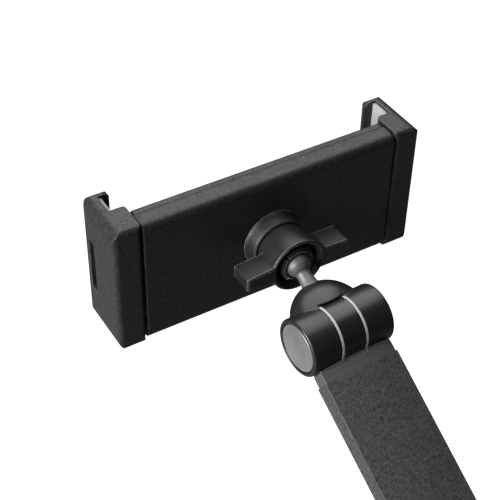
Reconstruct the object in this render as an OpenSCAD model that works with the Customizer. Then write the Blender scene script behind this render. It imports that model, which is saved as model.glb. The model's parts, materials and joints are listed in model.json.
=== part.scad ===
// Tablet stand: a spring-jaw tablet holder on a lockable ball joint, carried by two flat
// aluminium arms with barrel hinges, on a swivel and a screw clamp for the edge of a desk.
// Millimetres, Z up. The origin is on the desk top, on the axis of the clamp's swivel.
// The holder faces +Y; the arms stand in a plane that the swivel turns about Z.

/* [Holder] */
// Width of the holder's body between its two jaws
body_w = 116; // [110:1:130]
// Height of the holder's body
body_h = 59.6; // [58:0.2:70]
// Thickness of the holder's body with its front cover
body_t = 11.2; // [11:0.2:13]
// Thickness of the front cover
cover_t = 2.8; // [2:0.1:3]
// Wall thickness of the rear shell
shell_wall = 2; // [1.6:0.1:2]
// Thickness of the soft sheet on the front cover
front_pad_t = 3; // [2:0.1:3.1]

/* [Jaws] */
// Width of a jaw along the holder
jaw_w = 12.2; // [11.5:0.1:14]
// Height of a jaw
jaw_h = 61.4; // [60:0.2:72]
// Depth of a jaw from its back to the front of its lip
jaw_d = 27.3; // [26:0.1:32]
// Distance from the jaw's back to the face that the tablet rests on
jaw_floor = 14.3; // [13.5:0.1:15]
// Thickness of the jaw's outer wall
jaw_wall = 5.45; // [4.5:0.05:6]
// Reach of the lip over the tablet, from the jaw's outer face
lip_reach = 11; // [9:0.5:12]
// Thickness of the lip
lip_t = 3; // [2.5:0.1:4]
// Gap between the closed jaw and the body
jaw_gap = 0.75; // [0.5:0.05:1.5]
// How far each jaw pulls out
jaw_travel = 48; // [30:1:48]
// Thickness of the rubber pad inside a jaw
jaw_pad_t = 1.5; // [1:0.1:2]
// Height of the slot in the jaw's outer wall
side_slot_h = 25.5; // [15:0.5:32]
// Width of the slot in the jaw's outer wall
side_slot_w = 4.5; // [4.2:0.1:5]

/* [Ball joint] */
// Radius of the ball
ball_r = 5.3; // [5.2:0.1:5.4]
// Distance from the body's back face to the centre of the ball
ball_back = 18.6; // [18.4:0.1:18.8]
// Radius of the socket's threaded stem
stem_r = 9.4; // [9.3:0.1:9.6]
// Outer radius of the wing nut's collar
collar_r = 12.2; // [11.8:0.1:12.5]
// Distance from the middle of the wing nut to the tip of a wing
wing_span = 24; // [20:0.5:27]
// Half the thickness of a wing at its root
wing_half = 3.7; // [3.2:0.1:4]

/* [Hinges] */
// Radius of the hinge barrels
barrel_r = 12.2; // [11.5:0.1:13]
// Length of the hinge barrels
barrel_l = 38.5; // [38:0.5:42]
// Length of each outer knuckle
knuckle_l = 13; // [12.5:0.1:13.5]
// Thickness of the ring washers between knuckles
ring_t = 1; // [0.5:0.1:1.2]
// Radius of the hinge bolts
bolt_r = 3; // [2.5:0.5:3.5]
// Distance from the head hinge to the centre of the ball
neck_l = 31; // [30.5:0.5:33]

/* [Arms] */
// Length of each arm from hinge to hinge
arm_l = 175; // [150:5:200]
// Width of the arms
arm_w = 34.8; // [33:0.2:36]
// Thickness of an arm at its side edges
arm_edge = 8.1; // [7.5:0.1:9]
// Rise of each wide face from its edges to its middle
arm_crown = 1.2; // [0.8:0.1:1.5]
// Wall thickness of the arm extrusion
arm_wall = 1.6; // [1.3:0.1:2]

/* [Clamp] */
// Width of the clamp
clamp_w = 36; // [34:1:44]
// Depth of the clamp's throat behind the swivel axis
throat_d = 24; // [22:1:30]
// Height of the clamp's throat below the desk top
throat_h = 54; // [54:1:64]
// Thickness of the desk that the clamp is set to
desk_t = 30; // [26:1:34]
// Radius of the clamp screw
screw_r = 5; // [4:0.5:6]
// Height of the base hinge above the desk
base_h = 44; // [43:1:50]

/* [Rest pose] */
// Turn of the swivel
swivel = 2.8; // [-60:0.1:60]
// Lean of the lower arm back from upright
lower_lean = 20.5; // [0:0.5:45]
// Rise of the upper arm above level
upper_rise = 33.5; // [20:0.5:60]
// Rise of the head's neck above level
head_rise = 25.7; // [10:0.1:35]

/* [Hidden] */

$fn = 64;
small_fn = 32;
eps = 0.01;                   // overrun of a cutting shape past a face
fit = 0.05;                   // radial clearance of a running fit
play = 0.3;                   // gap between pieces that move past each other

// Places of the hinges and the ball, first in the plane of the arms, then turned with it
lower_dir = 90 + lower_lean;
base_at = [0, 0, base_h];
elbow_at = base_at + arm_l * [0, cos(lower_dir), sin(lower_dir)];
head_at = elbow_at + arm_l * [0, cos(upper_rise), sin(upper_rise)];
ball_in_plane = head_at + neck_l * [0, cos(head_rise), sin(head_rise)];
ball_at = [-ball_in_plane.y * sin(swivel), ball_in_plane.y * cos(swivel), ball_in_plane.z];

// Hinge barrels
mid_l = barrel_l - 2 * knuckle_l - 2 * ring_t;
inner_x = barrel_l / 2 - knuckle_l;
barrel_bevel = 0.8;
ring_r = barrel_r + 0.1;
disc_r = barrel_r - 2.1;
disc_t = 1.4;
disc_groove = 0.35;
disc_crown = 0.4;
bolt_head_r = 5.5;
bolt_head_l = 4;
hex_socket_r = 2.3;
hex_socket_l = 2.5;
nut_flats = 9;
slot_play = 0.9;              // gap between the middle knuckle and the yoke around it

// Yoke: a domed hood over the hinge, and the stud that it holds
dome_r = 17;
dome_side_r = 9.6;
dome_top = 21.5;
shank_r = 3.5;
shank_l = 7;
neck_r = 3;
neck_flare_r = 3.9;
flare_sink = 0.6;              // how far the stud's flare is let into the dome

// Arm ends
cap_from = 13;
cap_to = 17.5;
cap_inset = 0.5;
plug_l = 14;
plug_play = 0.15;
cap_screw_r = 1.5;
cap_screw_head_r = 2.6;
cap_screw_x = 9;
screw_head_deep = 1.3;        // depth of a screw's head below the crown of the arm
web_half = arm_edge / 2 + 0.3;

// Socket, seats and wing nut, as distances behind the body's back face
seat_t = 0.55;
seat_inner_r = ball_r + fit;
seat_outer_r = seat_inner_r + seat_t + fit;
socket_r = seat_outer_r + seat_t + fit;
socket_lip = 1.1;
boss_r = 13.5;
boss_top_r = 12.2;
boss_l = 5.7;
flange_r = 12.5;
flange_t = 2.2;
nut_back = 6.1;
nut_front = 20;
finger_r = 7.8;
finger_slit = 1.2;
stem_l = 13;
finger_from = 15.6;
finger_bevel = 1;
slit_from = 13.6;
vent_r = 1.5;
mouth_from = 17;
wing_back = 9.5;
wing_tip_half = 3.1;
wing_corner_r = 0.9;
wing_turn = 1.7;              // the nut stops a little past level
collar_back_r = collar_r - 0.9;
wing_fillet = 4;

// Inside the holder: lanes of the racks, springs and guides above and below the middle
cavity_front = body_t - cover_t;
slide_t = 3;
slide_y = shell_wall + flange_t + 0.9;
tooth_module = 1.25;
pinion_teeth = 16;
pitch_r = tooth_module * pinion_teeth / 2;
tooth_pitch = PI * tooth_module;
tooth_height = 1;
backlash = 0.18;
pinion_post_r = 3;
rack_back = 14;
rack_in = 51;
guide_low = 21.2;
guide_high = 25.4;
guide_in = 12;
spring_z = 17.7;
spring_r = 1.7;
spring_wire = 0.4;
spring_turns = 34;
spring_from = 3.8;
spring_to = 44.6;
peg_r = 0.9;
post_x = 53;
post_r = 2.4;
cover_screw_r = 1;
cover_screw_head_r = 1.9;
cover_screw_head_l = 1.2;
cover_screw_deep = 2.4;
edge_fillet = 3.6;
pad_margin = 5;
jaw_inner = body_w / 2 + jaw_gap;
jaw_outer = jaw_inner + jaw_w;
jaw_corner = 5;
jaw_edge = 2.2;
lip_corner = 3.5;
tab_from = 61;
tab_to = 67;
pad_inset = 1.2;
side_slot_shift = 1.4;         // from the middle of the channel towards the lip

// Clamp
top_pad_t = 1.5;
clamp_top_t = 8;
spine_t = 9;
clamp_reach = 26;
clamp_arm_t = 11;
swivel_boss_r = 16;
swivel_top = base_h - dome_top - 1.6;
washer_t = 1.5;
foot_r = 15;
foot_t = 3;
foot_pad_t = 1.5;
foot_hub_r = 7.5;
foot_hub_l = 5;
knob_r = 15;
knob_h = 15;
knob_floor = 3;
knob_lobes = 7;
screw_l = 66;

// ---------- shared shapes ----------

// Everything that turns with the swivel
module arm_plane() {
    rotate([0, 0, swivel]) children();
}

// A link's own frame: hinge at the origin, Z along the link, X along the hinge
module link(at, direction) {
    arm_plane() translate(at) rotate([direction - 90, 0, 0]) children();
}

// The holder's own frame: origin in the middle of the back face, Y through to the tablet
module holder() {
    translate(ball_at + [0, ball_back, 0]) children();
}

// A solid of revolution about the holder's Y axis; its profile counts back from the body
module turned_back() {
    rotate([90, 0, 0]) rotate_extrude() children();
}

module rod_x(from, to, r) {
    translate([from, 0, 0]) rotate([0, 90, 0]) cylinder(h = to - from, r = r);
}

module box(low, high) {
    translate(low) cube(high - low);
}

module box2(low, high) {
    translate(low) square(high - low);
}

module rounded(size, r) {
    square([size.x - 2 * r, size.y], center = true);
    square([size.x, size.y - 2 * r], center = true);
    for (sx = [-1, 1], sy = [-1, 1])
        translate([sx * (size.x / 2 - r), sy * (size.y / 2 - r)]) circle(r, $fn = small_fn);
}

// ---------- barrel hinge ----------

module middle_knuckle() {
    rod_x(-mid_l / 2, mid_l / 2, barrel_r);
}

module hinge_bore() {
    rod_x(-barrel_l, barrel_l, bolt_r + fit);
}

module outer_knuckle() {
    rotate([0, 90, 0]) rotate_extrude() polygon([
        [0, inner_x], [barrel_r, inner_x], [barrel_r, barrel_l / 2 - barrel_bevel],
        [barrel_r - barrel_bevel, barrel_l / 2], [disc_r + disc_groove, barrel_l / 2],
        [disc_r + disc_groove, barrel_l / 2 - disc_t], [0, barrel_l / 2 - disc_t]]);
}

module outer_knuckles() {
    outer_knuckle();
    mirror([1, 0, 0]) outer_knuckle();
}

// Room for the bolt, its head on the left and its nut on the right
module bolt_room() {
    seat = barrel_l / 2 - disc_t;
    rod_x(-barrel_l / 2, barrel_l / 2, bolt_r + fit);
    rod_x(-seat - eps, -seat + bolt_head_l, bolt_head_r + fit);
    translate([seat - bolt_head_l, 0, 0]) rotate([0, 90, 0])
        cylinder(h = bolt_head_l + eps, d = (nut_flats + 2 * fit) / cos(30), $fn = 6);
}

module hinge_bolt() {
    seat = barrel_l / 2 - disc_t;
    color("dimgray") difference() {
        union() {
            rod_x(-seat, seat, bolt_r);
            rod_x(-seat, -seat + bolt_head_l, bolt_head_r);
        }
        translate([-seat - eps, 0, 0]) rotate([0, 90, 0])
            cylinder(h = hex_socket_l, r = hex_socket_r, $fn = 6);
    }
}

module hinge_nut() {
    seat = barrel_l / 2 - disc_t;
    color("dimgray") difference() {
        translate([seat - bolt_head_l, 0, 0]) rotate([0, 90, 0])
            cylinder(h = bolt_head_l, d = nut_flats / cos(30), $fn = 6);
        rod_x(0, barrel_l, bolt_r + fit);
    }
}

module hinge_rings() {
    color("lightgray") for (side = [-1, 1])
        translate([side * (inner_x - (ring_t - fit) / 2), 0, 0]) rotate([0, 90, 0])
            difference() {
                cylinder(h = ring_t - fit, r = ring_r, center = true);
                cylinder(h = barrel_l, r = bolt_r + fit, center = true);
            }
}

module end_disc(side) {
    color("silver") mirror([side < 0 ? 1 : 0, 0, 0]) rotate([0, 90, 0]) rotate_extrude()
        polygon([
            [0, barrel_l / 2 - disc_t], [disc_r, barrel_l / 2 - disc_t],
            [disc_r, barrel_l / 2 - disc_crown], [disc_r - disc_crown, barrel_l / 2 - 0.1],
            [0, barrel_l / 2]]);
}

// Hood over a barrel, standing along Z, with its slot for the middle knuckle
module hood(stud_r) {
    difference() {
        union() {
            outer_knuckles();
            intersection() {
                translate([0, 0, dome_top - dome_r]) sphere(dome_r);
                translate([0, 0, dome_top - dome_side_r])
                    rod_x(-barrel_l, barrel_l, dome_side_r);
            }
            intersection() {
                translate([0, 0, dome_top - dome_r]) sphere(dome_r);
                rod_x(-barrel_l, barrel_l, barrel_r);
            }
        }
        rod_x(-inner_x, inner_x, barrel_r + slot_play);
        bolt_room();
        translate([0, 0, dome_top - shank_l]) cylinder(h = shank_l + eps, r = stud_r);
    }
}

// ---------- arms ----------

module arm_outline(inset) {
    half = arm_w / 2;
    bow_r = (half * half + arm_crown * arm_crown) / (2 * arm_crown);
    intersection() {
        square([arm_w - 2 * inset, 2 * (arm_edge + arm_crown)], center = true);
        translate([0, arm_edge / 2 + arm_crown - bow_r - inset]) circle(bow_r, $fn = 256);
        translate([0, bow_r - arm_edge / 2 - arm_crown + inset]) circle(bow_r, $fn = 256);
    }
}

module arm_core() {
    square([arm_w - 2 * arm_wall, arm_edge - 2 * arm_wall], center = true);
}

module arm_tube() {
    color([0.26, 0.26, 0.27]) difference() {
        translate([0, 0, cap_to]) linear_extrude(arm_l - 2 * cap_to) difference() {
            arm_outline(0);
            arm_core();
        }
        arm_screw_places() arm_screw_room(1);
    }
}

// Plate and plug shared by every arm end
module cap_plate() {
    translate([0, 0, cap_from]) linear_extrude(cap_to - cap_from) arm_outline(cap_inset);
    translate([0, 0, cap_to - eps]) linear_extrude(plug_l)
        square([arm_w - 2 * arm_wall - plug_play, arm_edge - 2 * arm_wall - plug_play],
               center = true);
}

// The arm's underside is at +Y of the cap's frame, or at -Y where the cap is at the far end
module tongue_cap(underside) {
    color([0.2, 0.2, 0.21]) difference() {
        union() {
            middle_knuckle();
            cap_plate();
            box([-mid_l / 2, -web_half, 0], [mid_l / 2, web_half, cap_from + 1]);
        }
        hinge_bore();
        cap_screw_places() arm_screw_room(underside);
    }
}

module fork_cap(underside) {
    color([0.2, 0.2, 0.21]) difference() {
        union() {
            outer_knuckles();
            cap_plate();
            for (side = [0, 1]) mirror([side, 0, 0])
                box([inner_x, -web_half, 0], [arm_w / 2 - cap_inset, web_half, cap_from + 1]);
        }
        bolt_room();
        rod_x(-inner_x, inner_x, barrel_r + slot_play);
        cap_screw_places() arm_screw_room(underside);
    }
}

module cap_screw_places() {
    for (side = [-1, 1])
        translate([side * cap_screw_x, 0, cap_to + plug_l / 2]) children();
}

module arm_screw_places() {
    cap_screw_places() children();
    translate([0, 0, arm_l]) mirror([0, 0, 1]) cap_screw_places() children();
}

// The screws go in from the underside of the arm
module arm_screw_room(underside) {
    depth = arm_edge / 2 + arm_crown;
    rotate([-90 * underside, 0, 0]) {
        cylinder(h = depth, r = cap_screw_r);
        translate([0, 0, depth - screw_head_deep]) cylinder(h = 3, r = cap_screw_head_r);
    }
}

module arm_screws() {
    depth = arm_edge / 2 + arm_crown;
    color("dimgray") arm_screw_places() rotate([-90, 0, 0]) difference() {
        union() {
            cylinder(h = depth - screw_head_deep + 0.1, r = cap_screw_r);
            translate([0, 0, depth - screw_head_deep]) cylinder(h = 0.7, r = cap_screw_head_r);
        }
        translate([0, 0, depth - screw_head_deep]) cylinder(h = 2, r = 1.1, $fn = 6);
    }
}

// ---------- desk clamp ----------

module clamp_body() {
    back = -throat_d - spine_t;
    half = clamp_w / 2;
    color([0.13, 0.13, 0.14]) difference() {
        union() {
            rotate([90, 0, 90]) linear_extrude(clamp_w, center = true) difference() {
                polygon([
                    [back + 3, top_pad_t + clamp_top_t], [clamp_reach - 4, top_pad_t + clamp_top_t],
                    [clamp_reach, top_pad_t + clamp_top_t - 4], [clamp_reach, top_pad_t],
                    [-throat_d, top_pad_t], [-throat_d, -throat_h],
                    [swivel_boss_r - 3, -throat_h], [swivel_boss_r, -throat_h - 3],
                    [swivel_boss_r, -throat_h - clamp_arm_t + 3],
                    [swivel_boss_r - 3, -throat_h - clamp_arm_t],
                    [back + 6, -throat_h - clamp_arm_t], [back, -throat_h - clamp_arm_t + 6],
                    [back, top_pad_t + clamp_top_t - 3]]);
                translate([back - 3, -throat_h / 2]) rounded([6, throat_h * 0.7], 2.9);
            }
            cylinder(h = swivel_top, r = swivel_boss_r);
        }
        box([-half - 1, -throat_d, -throat_h], [half + 1, clamp_reach + 1, top_pad_t]);
        translate([0, 0, -throat_h - clamp_arm_t - 1])
            cylinder(h = clamp_arm_t + 2, r = screw_r + fit);
        cylinder(h = swivel_top + 1, r = bolt_r + fit);
        translate([0, 0, top_pad_t - eps]) cylinder(h = bolt_head_l + 1, r = bolt_head_r + play);
    }
}

module clamp_top_pad() {
    color([0.08, 0.08, 0.08]) linear_extrude(top_pad_t)
        translate([0, (clamp_reach - throat_d) / 2])
            rounded([clamp_w - 4, throat_d + clamp_reach - 4], 3);
}

// The pressure foot, its top pad at the underside of the desk
module clamp_foot() {
    top = -desk_t - foot_pad_t;
    color("dimgray") difference() {
        union() {
            translate([0, 0, top - foot_t]) cylinder(h = foot_t, r = foot_r);
            translate([0, 0, top - foot_t - foot_hub_l]) cylinder(h = foot_hub_l + 1, r = foot_hub_r);
        }
        translate([0, 0, top - foot_t - foot_hub_l - 1])
            cylinder(h = foot_hub_l + 1, r = screw_r - 1 + fit);
    }
}

module clamp_foot_pad() {
    color([0.08, 0.08, 0.08]) translate([0, 0, -desk_t - foot_pad_t])
        cylinder(h = foot_pad_t, r = foot_r - 0.5);
}

module clamp_screw() {
    top = -desk_t - foot_pad_t - foot_t - play;
    color("gray") {
        translate([0, 0, top - foot_hub_l]) cylinder(h = foot_hub_l, r = screw_r - 1);
        translate([0, 0, top - foot_hub_l - screw_l]) cylinder(h = screw_l, r = screw_r);
    }
}

module clamp_knob() {
    top = -desk_t - foot_pad_t - foot_t - play - foot_hub_l - screw_l + knob_h - knob_floor;
    color([0.12, 0.12, 0.12]) translate([0, 0, top - knob_h]) difference() {
        linear_extrude(knob_h) difference() {
            circle(knob_r);
            for (i = [0 : knob_lobes - 1])
                rotate(i * 360 / knob_lobes) translate([knob_r + 3, 0]) circle(5, $fn = small_fn);
        }
        translate([0, 0, knob_floor]) cylinder(h = knob_h, r = screw_r + fit);
    }
}

module base_yoke() {
    color([0.12, 0.12, 0.13]) arm_plane() translate(base_at) mirror([0, 0, 1]) difference() {
        union() {
            hood(bolt_r + fit);
            translate([0, 0, dome_top - 7]) cylinder(h = 7, r = swivel_boss_r - 3);
        }
        rod_x(-inner_x, inner_x, barrel_r + slot_play);
        translate([0, 0, dome_top - shank_l]) cylinder(h = shank_l + eps, r = bolt_r + fit);
    }
}

module swivel_washer() {
    color("lightgray") translate([0, 0, swivel_top + fit]) difference() {
        cylinder(h = base_h - dome_top - swivel_top - fit, r = swivel_boss_r - 1);
        translate([0, 0, -1]) cylinder(h = 4, r = bolt_r + fit);
    }
}

// Up through the clamp's top jaw into the base yoke, with its head above the top pad
module swivel_bolt() {
    low = top_pad_t + 0.5;
    color("dimgray") difference() {
        union() {
            translate([0, 0, low]) cylinder(h = bolt_head_l, r = bolt_head_r);
            translate([0, 0, low]) cylinder(h = base_h - dome_top + shank_l - 0.5 - low, r = bolt_r);
        }
        translate([0, 0, low - eps]) cylinder(h = hex_socket_l, r = hex_socket_r, $fn = 6);
    }
}

// ---------- head and ball joint ----------

module head_yoke() {
    color([0.12, 0.12, 0.13]) link(head_at, head_rise) difference() {
        hood(shank_r + fit);
        translate([0, 0, dome_top - flare_sink - eps])
            cylinder(h = flare_sink + 1, r = neck_flare_r + fit);
    }
}

module ball_stud() {
    flare_l = neck_l - dome_top;
    color([0.3, 0.3, 0.32]) link(head_at, head_rise) {
        translate([0, 0, neck_l]) sphere(ball_r);
        translate([0, 0, dome_top - shank_l + 0.5]) cylinder(h = shank_l, r = shank_r);
        translate([0, 0, dome_top]) rotate_extrude() polygon([
            [0, -flare_sink], [neck_flare_r, -flare_sink], [neck_flare_r, 0.2],
            [neck_r + 0.5, 1.4], [neck_r + 0.2, 2.8], [neck_r, 4.2], [neck_r, flare_l],
            [0, flare_l]]);
    }
}

// Shell round the ball, open towards the back from just in front of the ball's middle
module ball_seat(inner) {
    outer = inner + seat_t;
    rotate([90, 0, 0]) rotate_extrude() difference() {
        intersection() {
            circle(outer);
            box2([0, -outer - 1], [outer + 1, socket_lip]);
        }
        circle(inner);
    }
}

module ball_seat_inner() {
    color("ivory") translate(ball_at) ball_seat(seat_inner_r);
}

module ball_seat_outer() {
    color("ivory") translate(ball_at) ball_seat(seat_outer_r);
}

// Flange inside the rear shell, threaded stem through its boss, and four gripping fingers
module socket() {
    tip = ball_back + socket_lip;
    color([0.1, 0.1, 0.1]) holder() difference() {
        turned_back() polygon([
            [0, -shell_wall - flange_t], [flange_r, -shell_wall - flange_t],
            [flange_r, -shell_wall], [stem_r, -shell_wall], [stem_r, stem_l],
            [finger_r, finger_from], [finger_r, tip - finger_bevel], [socket_r, tip], [0, tip]]);
        translate([0, -ball_back, 0]) sphere(socket_r);
        for (a = [45, 135]) rotate([0, a, 0])
            box([-stem_r - 1, -tip - 1, -finger_slit / 2],
                [stem_r + 1, -slit_from, finger_slit / 2]);
        rotate([90, 0, 0]) translate([0, 0, -shell_wall - flange_t - 1])
            cylinder(h = shell_wall + flange_t + 4, r = vent_r);
    }
}

module wing_outline() {
    reach = sqrt(pow(collar_r + wing_fillet, 2) - pow(wing_half + wing_fillet, 2));
    tip = wing_span - wing_corner_r;
    tip_z = wing_tip_half - wing_corner_r;
    circle(collar_back_r);
    for (side = [0, 1]) mirror([side, 0]) {
        polygon([[0, -wing_half], [reach, -wing_half], [tip, -wing_tip_half],
                 [wing_span, -tip_z], [wing_span, tip_z], [tip, wing_tip_half],
                 [reach, wing_half], [0, wing_half]]);
        for (turn = [0, 1]) mirror([0, turn]) {
            translate([tip, tip_z]) circle(wing_corner_r, $fn = small_fn);
            difference() {
                polygon([[0, 0], [reach, 0], [reach, wing_half + wing_fillet]]);
                translate([reach, wing_half + wing_fillet])
                    circle(wing_fillet, $fn = small_fn);
            }
        }
    }
}

module wing_nut() {
    color([0.09, 0.09, 0.09]) holder() difference() {
        union() {
            turned_back() polygon([
                [0, nut_back], [collar_back_r - 0.5, nut_back],
                [collar_back_r, nut_back + 0.5],
                [collar_r, nut_front - 0.5], [collar_r - 0.5, nut_front], [0, nut_front]]);
            rotate([0, -wing_turn, 0]) rotate([90, 0, 0]) translate([0, 0, wing_back])
                linear_extrude(nut_front - 0.5 - wing_back) wing_outline();
        }
        turned_back() polygon([
            [0, nut_back - 1], [stem_r + fit, nut_back - 1], [stem_r + fit, stem_l + 0.5],
            [finger_r + play, finger_from + 0.2], [finger_r + play, mouth_from],
            [collar_r - 1, nut_front + eps], [0, nut_front + eps]]);
    }
}

// ---------- holder body ----------

// Side outline of the body: Y across, Z up, with filleted back edges
module body_outline(depth, inset) {
    high = body_h / 2 - inset;
    r = max(edge_fillet - inset, 0.5);
    translate([inset + r, -high]) square([depth - inset - r, 2 * high]);
    translate([inset, r - high]) square([depth - inset, 2 * (high - r)]);
    for (side = [-1, 1])
        translate([inset + r, side * (high - r)]) circle(r, $fn = small_fn);
}

module along_x(length) {
    rotate([90, 0, 90]) linear_extrude(length, center = true) children();
}

module rear_shell() {
    inner = shell_wall;
    color([0.09, 0.09, 0.095]) holder() difference() {
        union() {
            difference() {
                along_x(body_w) body_outline(cavity_front, 0);
                along_x(body_w - 2 * inner) body_outline(cavity_front + 1, inner);
            }
            turned_back() polygon([[0, -1], [boss_r, -1], [boss_r, 0], [boss_r - 0.5, 0.8],
                                   [boss_top_r, boss_l - 0.4], [boss_top_r - 0.4, boss_l],
                                   [0, boss_l]]);
            screw_posts() rotate([-90, 0, 0]) cylinder(h = cavity_front - 1, r = post_r);
            spring_anchors() rotate([-90, 0, 0]) cylinder(h = cavity_front - 1.5, r = peg_r);
        }
        rotate([90, 0, 0]) translate([0, 0, -shell_wall - 1])
            cylinder(h = boss_l + shell_wall + 2, r = stem_r + fit);
        screw_posts() rotate([-90, 0, 0])
            cylinder(h = cavity_front + 1, r = cover_screw_r + fit);
        for (turn = [0, 180]) rotate([0, turn, 0]) {
            box([-body_w / 2 - 1, slide_y - play, pitch_r - 2],
                [-body_w / 2 + inner + 1, cavity_front + 1, rack_back + play]);
            box([-body_w / 2 - 1, slide_y - play, -guide_high - play],
                [-body_w / 2 + inner + 1, cavity_front + 1, -guide_low + play]);
        }
    }
}

module screw_posts() {
    for (sx = [-1, 1], sz = [-1, 1])
        translate([sx * post_x, 1, sz * spring_z]) children();
}

module spring_anchors() {
    for (turn = [0, 180]) rotate([0, turn, 0]) translate([spring_to + peg_r, 1, spring_z])
        children();
}

module front_cover() {
    color([0.1, 0.1, 0.105]) holder() difference() {
        translate([0, cavity_front, 0]) rotate([-90, 0, 0]) linear_extrude(cover_t)
            rounded([body_w, body_h], 1);
        screw_posts() rotate([-90, 0, 0]) cylinder(h = body_t, r = cover_screw_r + fit);
        translate([0, body_t - cover_screw_deep, 0]) screw_posts() rotate([-90, 0, 0])
            cylinder(h = cover_screw_deep, r = cover_screw_head_r + fit);
    }
}

module cover_screws() {
    color("dimgray") holder() screw_posts() {
        translate([0, 3, 0]) rotate([-90, 0, 0])
            cylinder(h = body_t - cover_screw_deep - 2.5, r = cover_screw_r);
        translate([0, body_t - cover_screw_deep, 0]) rotate([-90, 0, 0])
            cylinder(h = cover_screw_head_l, r = cover_screw_head_r);
    }
}

module front_pad() {
    color([0.16, 0.16, 0.16]) holder() translate([0, body_t, 0]) rotate([-90, 0, 0])
        linear_extrude(front_pad_t)
            rounded([body_w - 2 * pad_margin, body_h - 2 * pad_margin], 4);
}

// ---------- slides, pinion and springs ----------

// One flank of an involute tooth as points at growing radius, starting at the base circle
function flank(base, top, steps) = [
    for (i = [0 : steps])
        let (r = base + (top - base) * i / steps, roll = sqrt(pow(r / base, 2) - 1))
            [r, roll * 180 / PI - atan(roll)]];

module pinion_tooth() {
    base = pitch_r * cos(20);
    roll = sqrt(pow(pitch_r / base, 2) - 1);
    half = 90 / pinion_teeth + roll * 180 / PI - atan(roll) - backlash / pitch_r * 180 / PI;
    side = flank(base, pitch_r + tooth_height, 4);
    polygon(concat(
        [[0, 0]],
        [for (p = side) p[0] * [cos(half - p[1]), sin(half - p[1])]],
        [for (k = [4 : -1 : 0]) side[k][0] * [cos(half - side[k][1]), -sin(half - side[k][1])]]));
}

module pinion() {
    color("white") holder() translate([0, slide_y + 0.1, 0]) rotate([-90, 0, 0]) difference() {
        union() {
            cylinder(h = slide_t - 0.2, r = pitch_r - tooth_height - 0.4);
            for (i = [0 : pinion_teeth - 1]) rotate((i + 0.5) * 360 / pinion_teeth)
                linear_extrude(slide_t - 0.2) pinion_tooth();
        }
        translate([0, 0, -1]) cylinder(h = slide_t + 2, r = pinion_post_r + fit);
    }
}

module pinion_post() {
    low = shell_wall + flange_t;
    color("dimgray") holder() rotate([-90, 0, 0]) {
        translate([0, 0, low - 2]) cylinder(h = 3, r = 1.5);
        translate([0, 0, low]) cylinder(h = cavity_front - low, r = pinion_post_r);
    }
}

// Toothed bar, guide bar and the tab that joins them inside the left jaw
module slide_outline() {
    tooth_half = tooth_pitch / 4 - backlash;
    lean = tooth_height * tan(20);
    root = pitch_r + tooth_height + 0.3;
    difference() {
        union() {
            translate([-tab_to, root]) square([tab_to + rack_in, rack_back - root]);
            translate([-tab_to, -guide_high])
                square([tab_to + guide_in, guide_high - guide_low]);
            translate([-tab_to, -guide_high]) square([tab_to - tab_from, guide_high + rack_back]);
            translate([0, rack_back - eps]) square([3.4, spring_z + 1.5 - rack_back]);
        }
        translate([1.9, spring_z]) circle(0.8, $fn = small_fn);
    }
    for (i = [-14 : 12]) translate([i * tooth_pitch, 0]) polygon([
        [-tooth_half - lean, root + eps], [-tooth_half + lean, pitch_r - tooth_height],
        [tooth_half - lean, pitch_r - tooth_height], [tooth_half + lean, root + eps]]);
}

module slide() {
    translate([0, slide_y + slide_t, 0]) rotate([90, 0, 0]) linear_extrude(slide_t)
        slide_outline();
}

module slide_left() {
    color("silver") holder() slide();
}

module slide_right() {
    color("silver") holder() rotate([0, 180, 0]) slide();
}

// Close-wound spring as a ribbed tube, from the slide's eye to the shell's anchor
module spring() {
    step = (spring_to - spring_from) / spring_turns;
    translate([spring_from, slide_y + slide_t / 2, spring_z]) rotate([0, 90, 0])
        rotate_extrude($fn = small_fn) polygon(concat(
            [[spring_r - 2 * spring_wire, 0]],
            [for (i = [0 : spring_turns - 1], k = [0, 1])
                [spring_r - (k == 0 ? spring_wire : 0), (i + k / 2) * step]],
            [[spring_r - spring_wire, spring_turns * step],
             [spring_r - 2 * spring_wire, spring_turns * step]]));
}

module spring_left() {
    color("gray") holder() spring();
}

module spring_right() {
    color("gray") holder() rotate([0, 180, 0]) spring();
}

// ---------- jaws ----------

// Plan of the right jaw: floor block, outer wall, and lip with a round tip
module jaw_outline() {
    wall_in = jaw_outer - jaw_wall;
    lip_from = jaw_d - lip_t;
    tip_x = jaw_outer - lip_reach + lip_t / 2;
    floor_r = 1.5;
    difference() {
        translate([(jaw_inner + jaw_outer) / 2, jaw_d / 2]) rounded([jaw_w, jaw_d], jaw_edge);
        box2([jaw_inner - 1, jaw_floor], [wall_in, lip_from]);
        box2([jaw_inner - 1, lip_from - eps], [tip_x, jaw_d + 1]);
        difference() {
            box2([jaw_inner - 1, jaw_floor - floor_r], [jaw_inner + floor_r, jaw_floor + 1]);
            translate([jaw_inner + floor_r, jaw_floor - floor_r]) circle(floor_r);
        }
    }
    translate([tip_x, lip_from + lip_t / 2]) circle(lip_t / 2);
}

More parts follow.
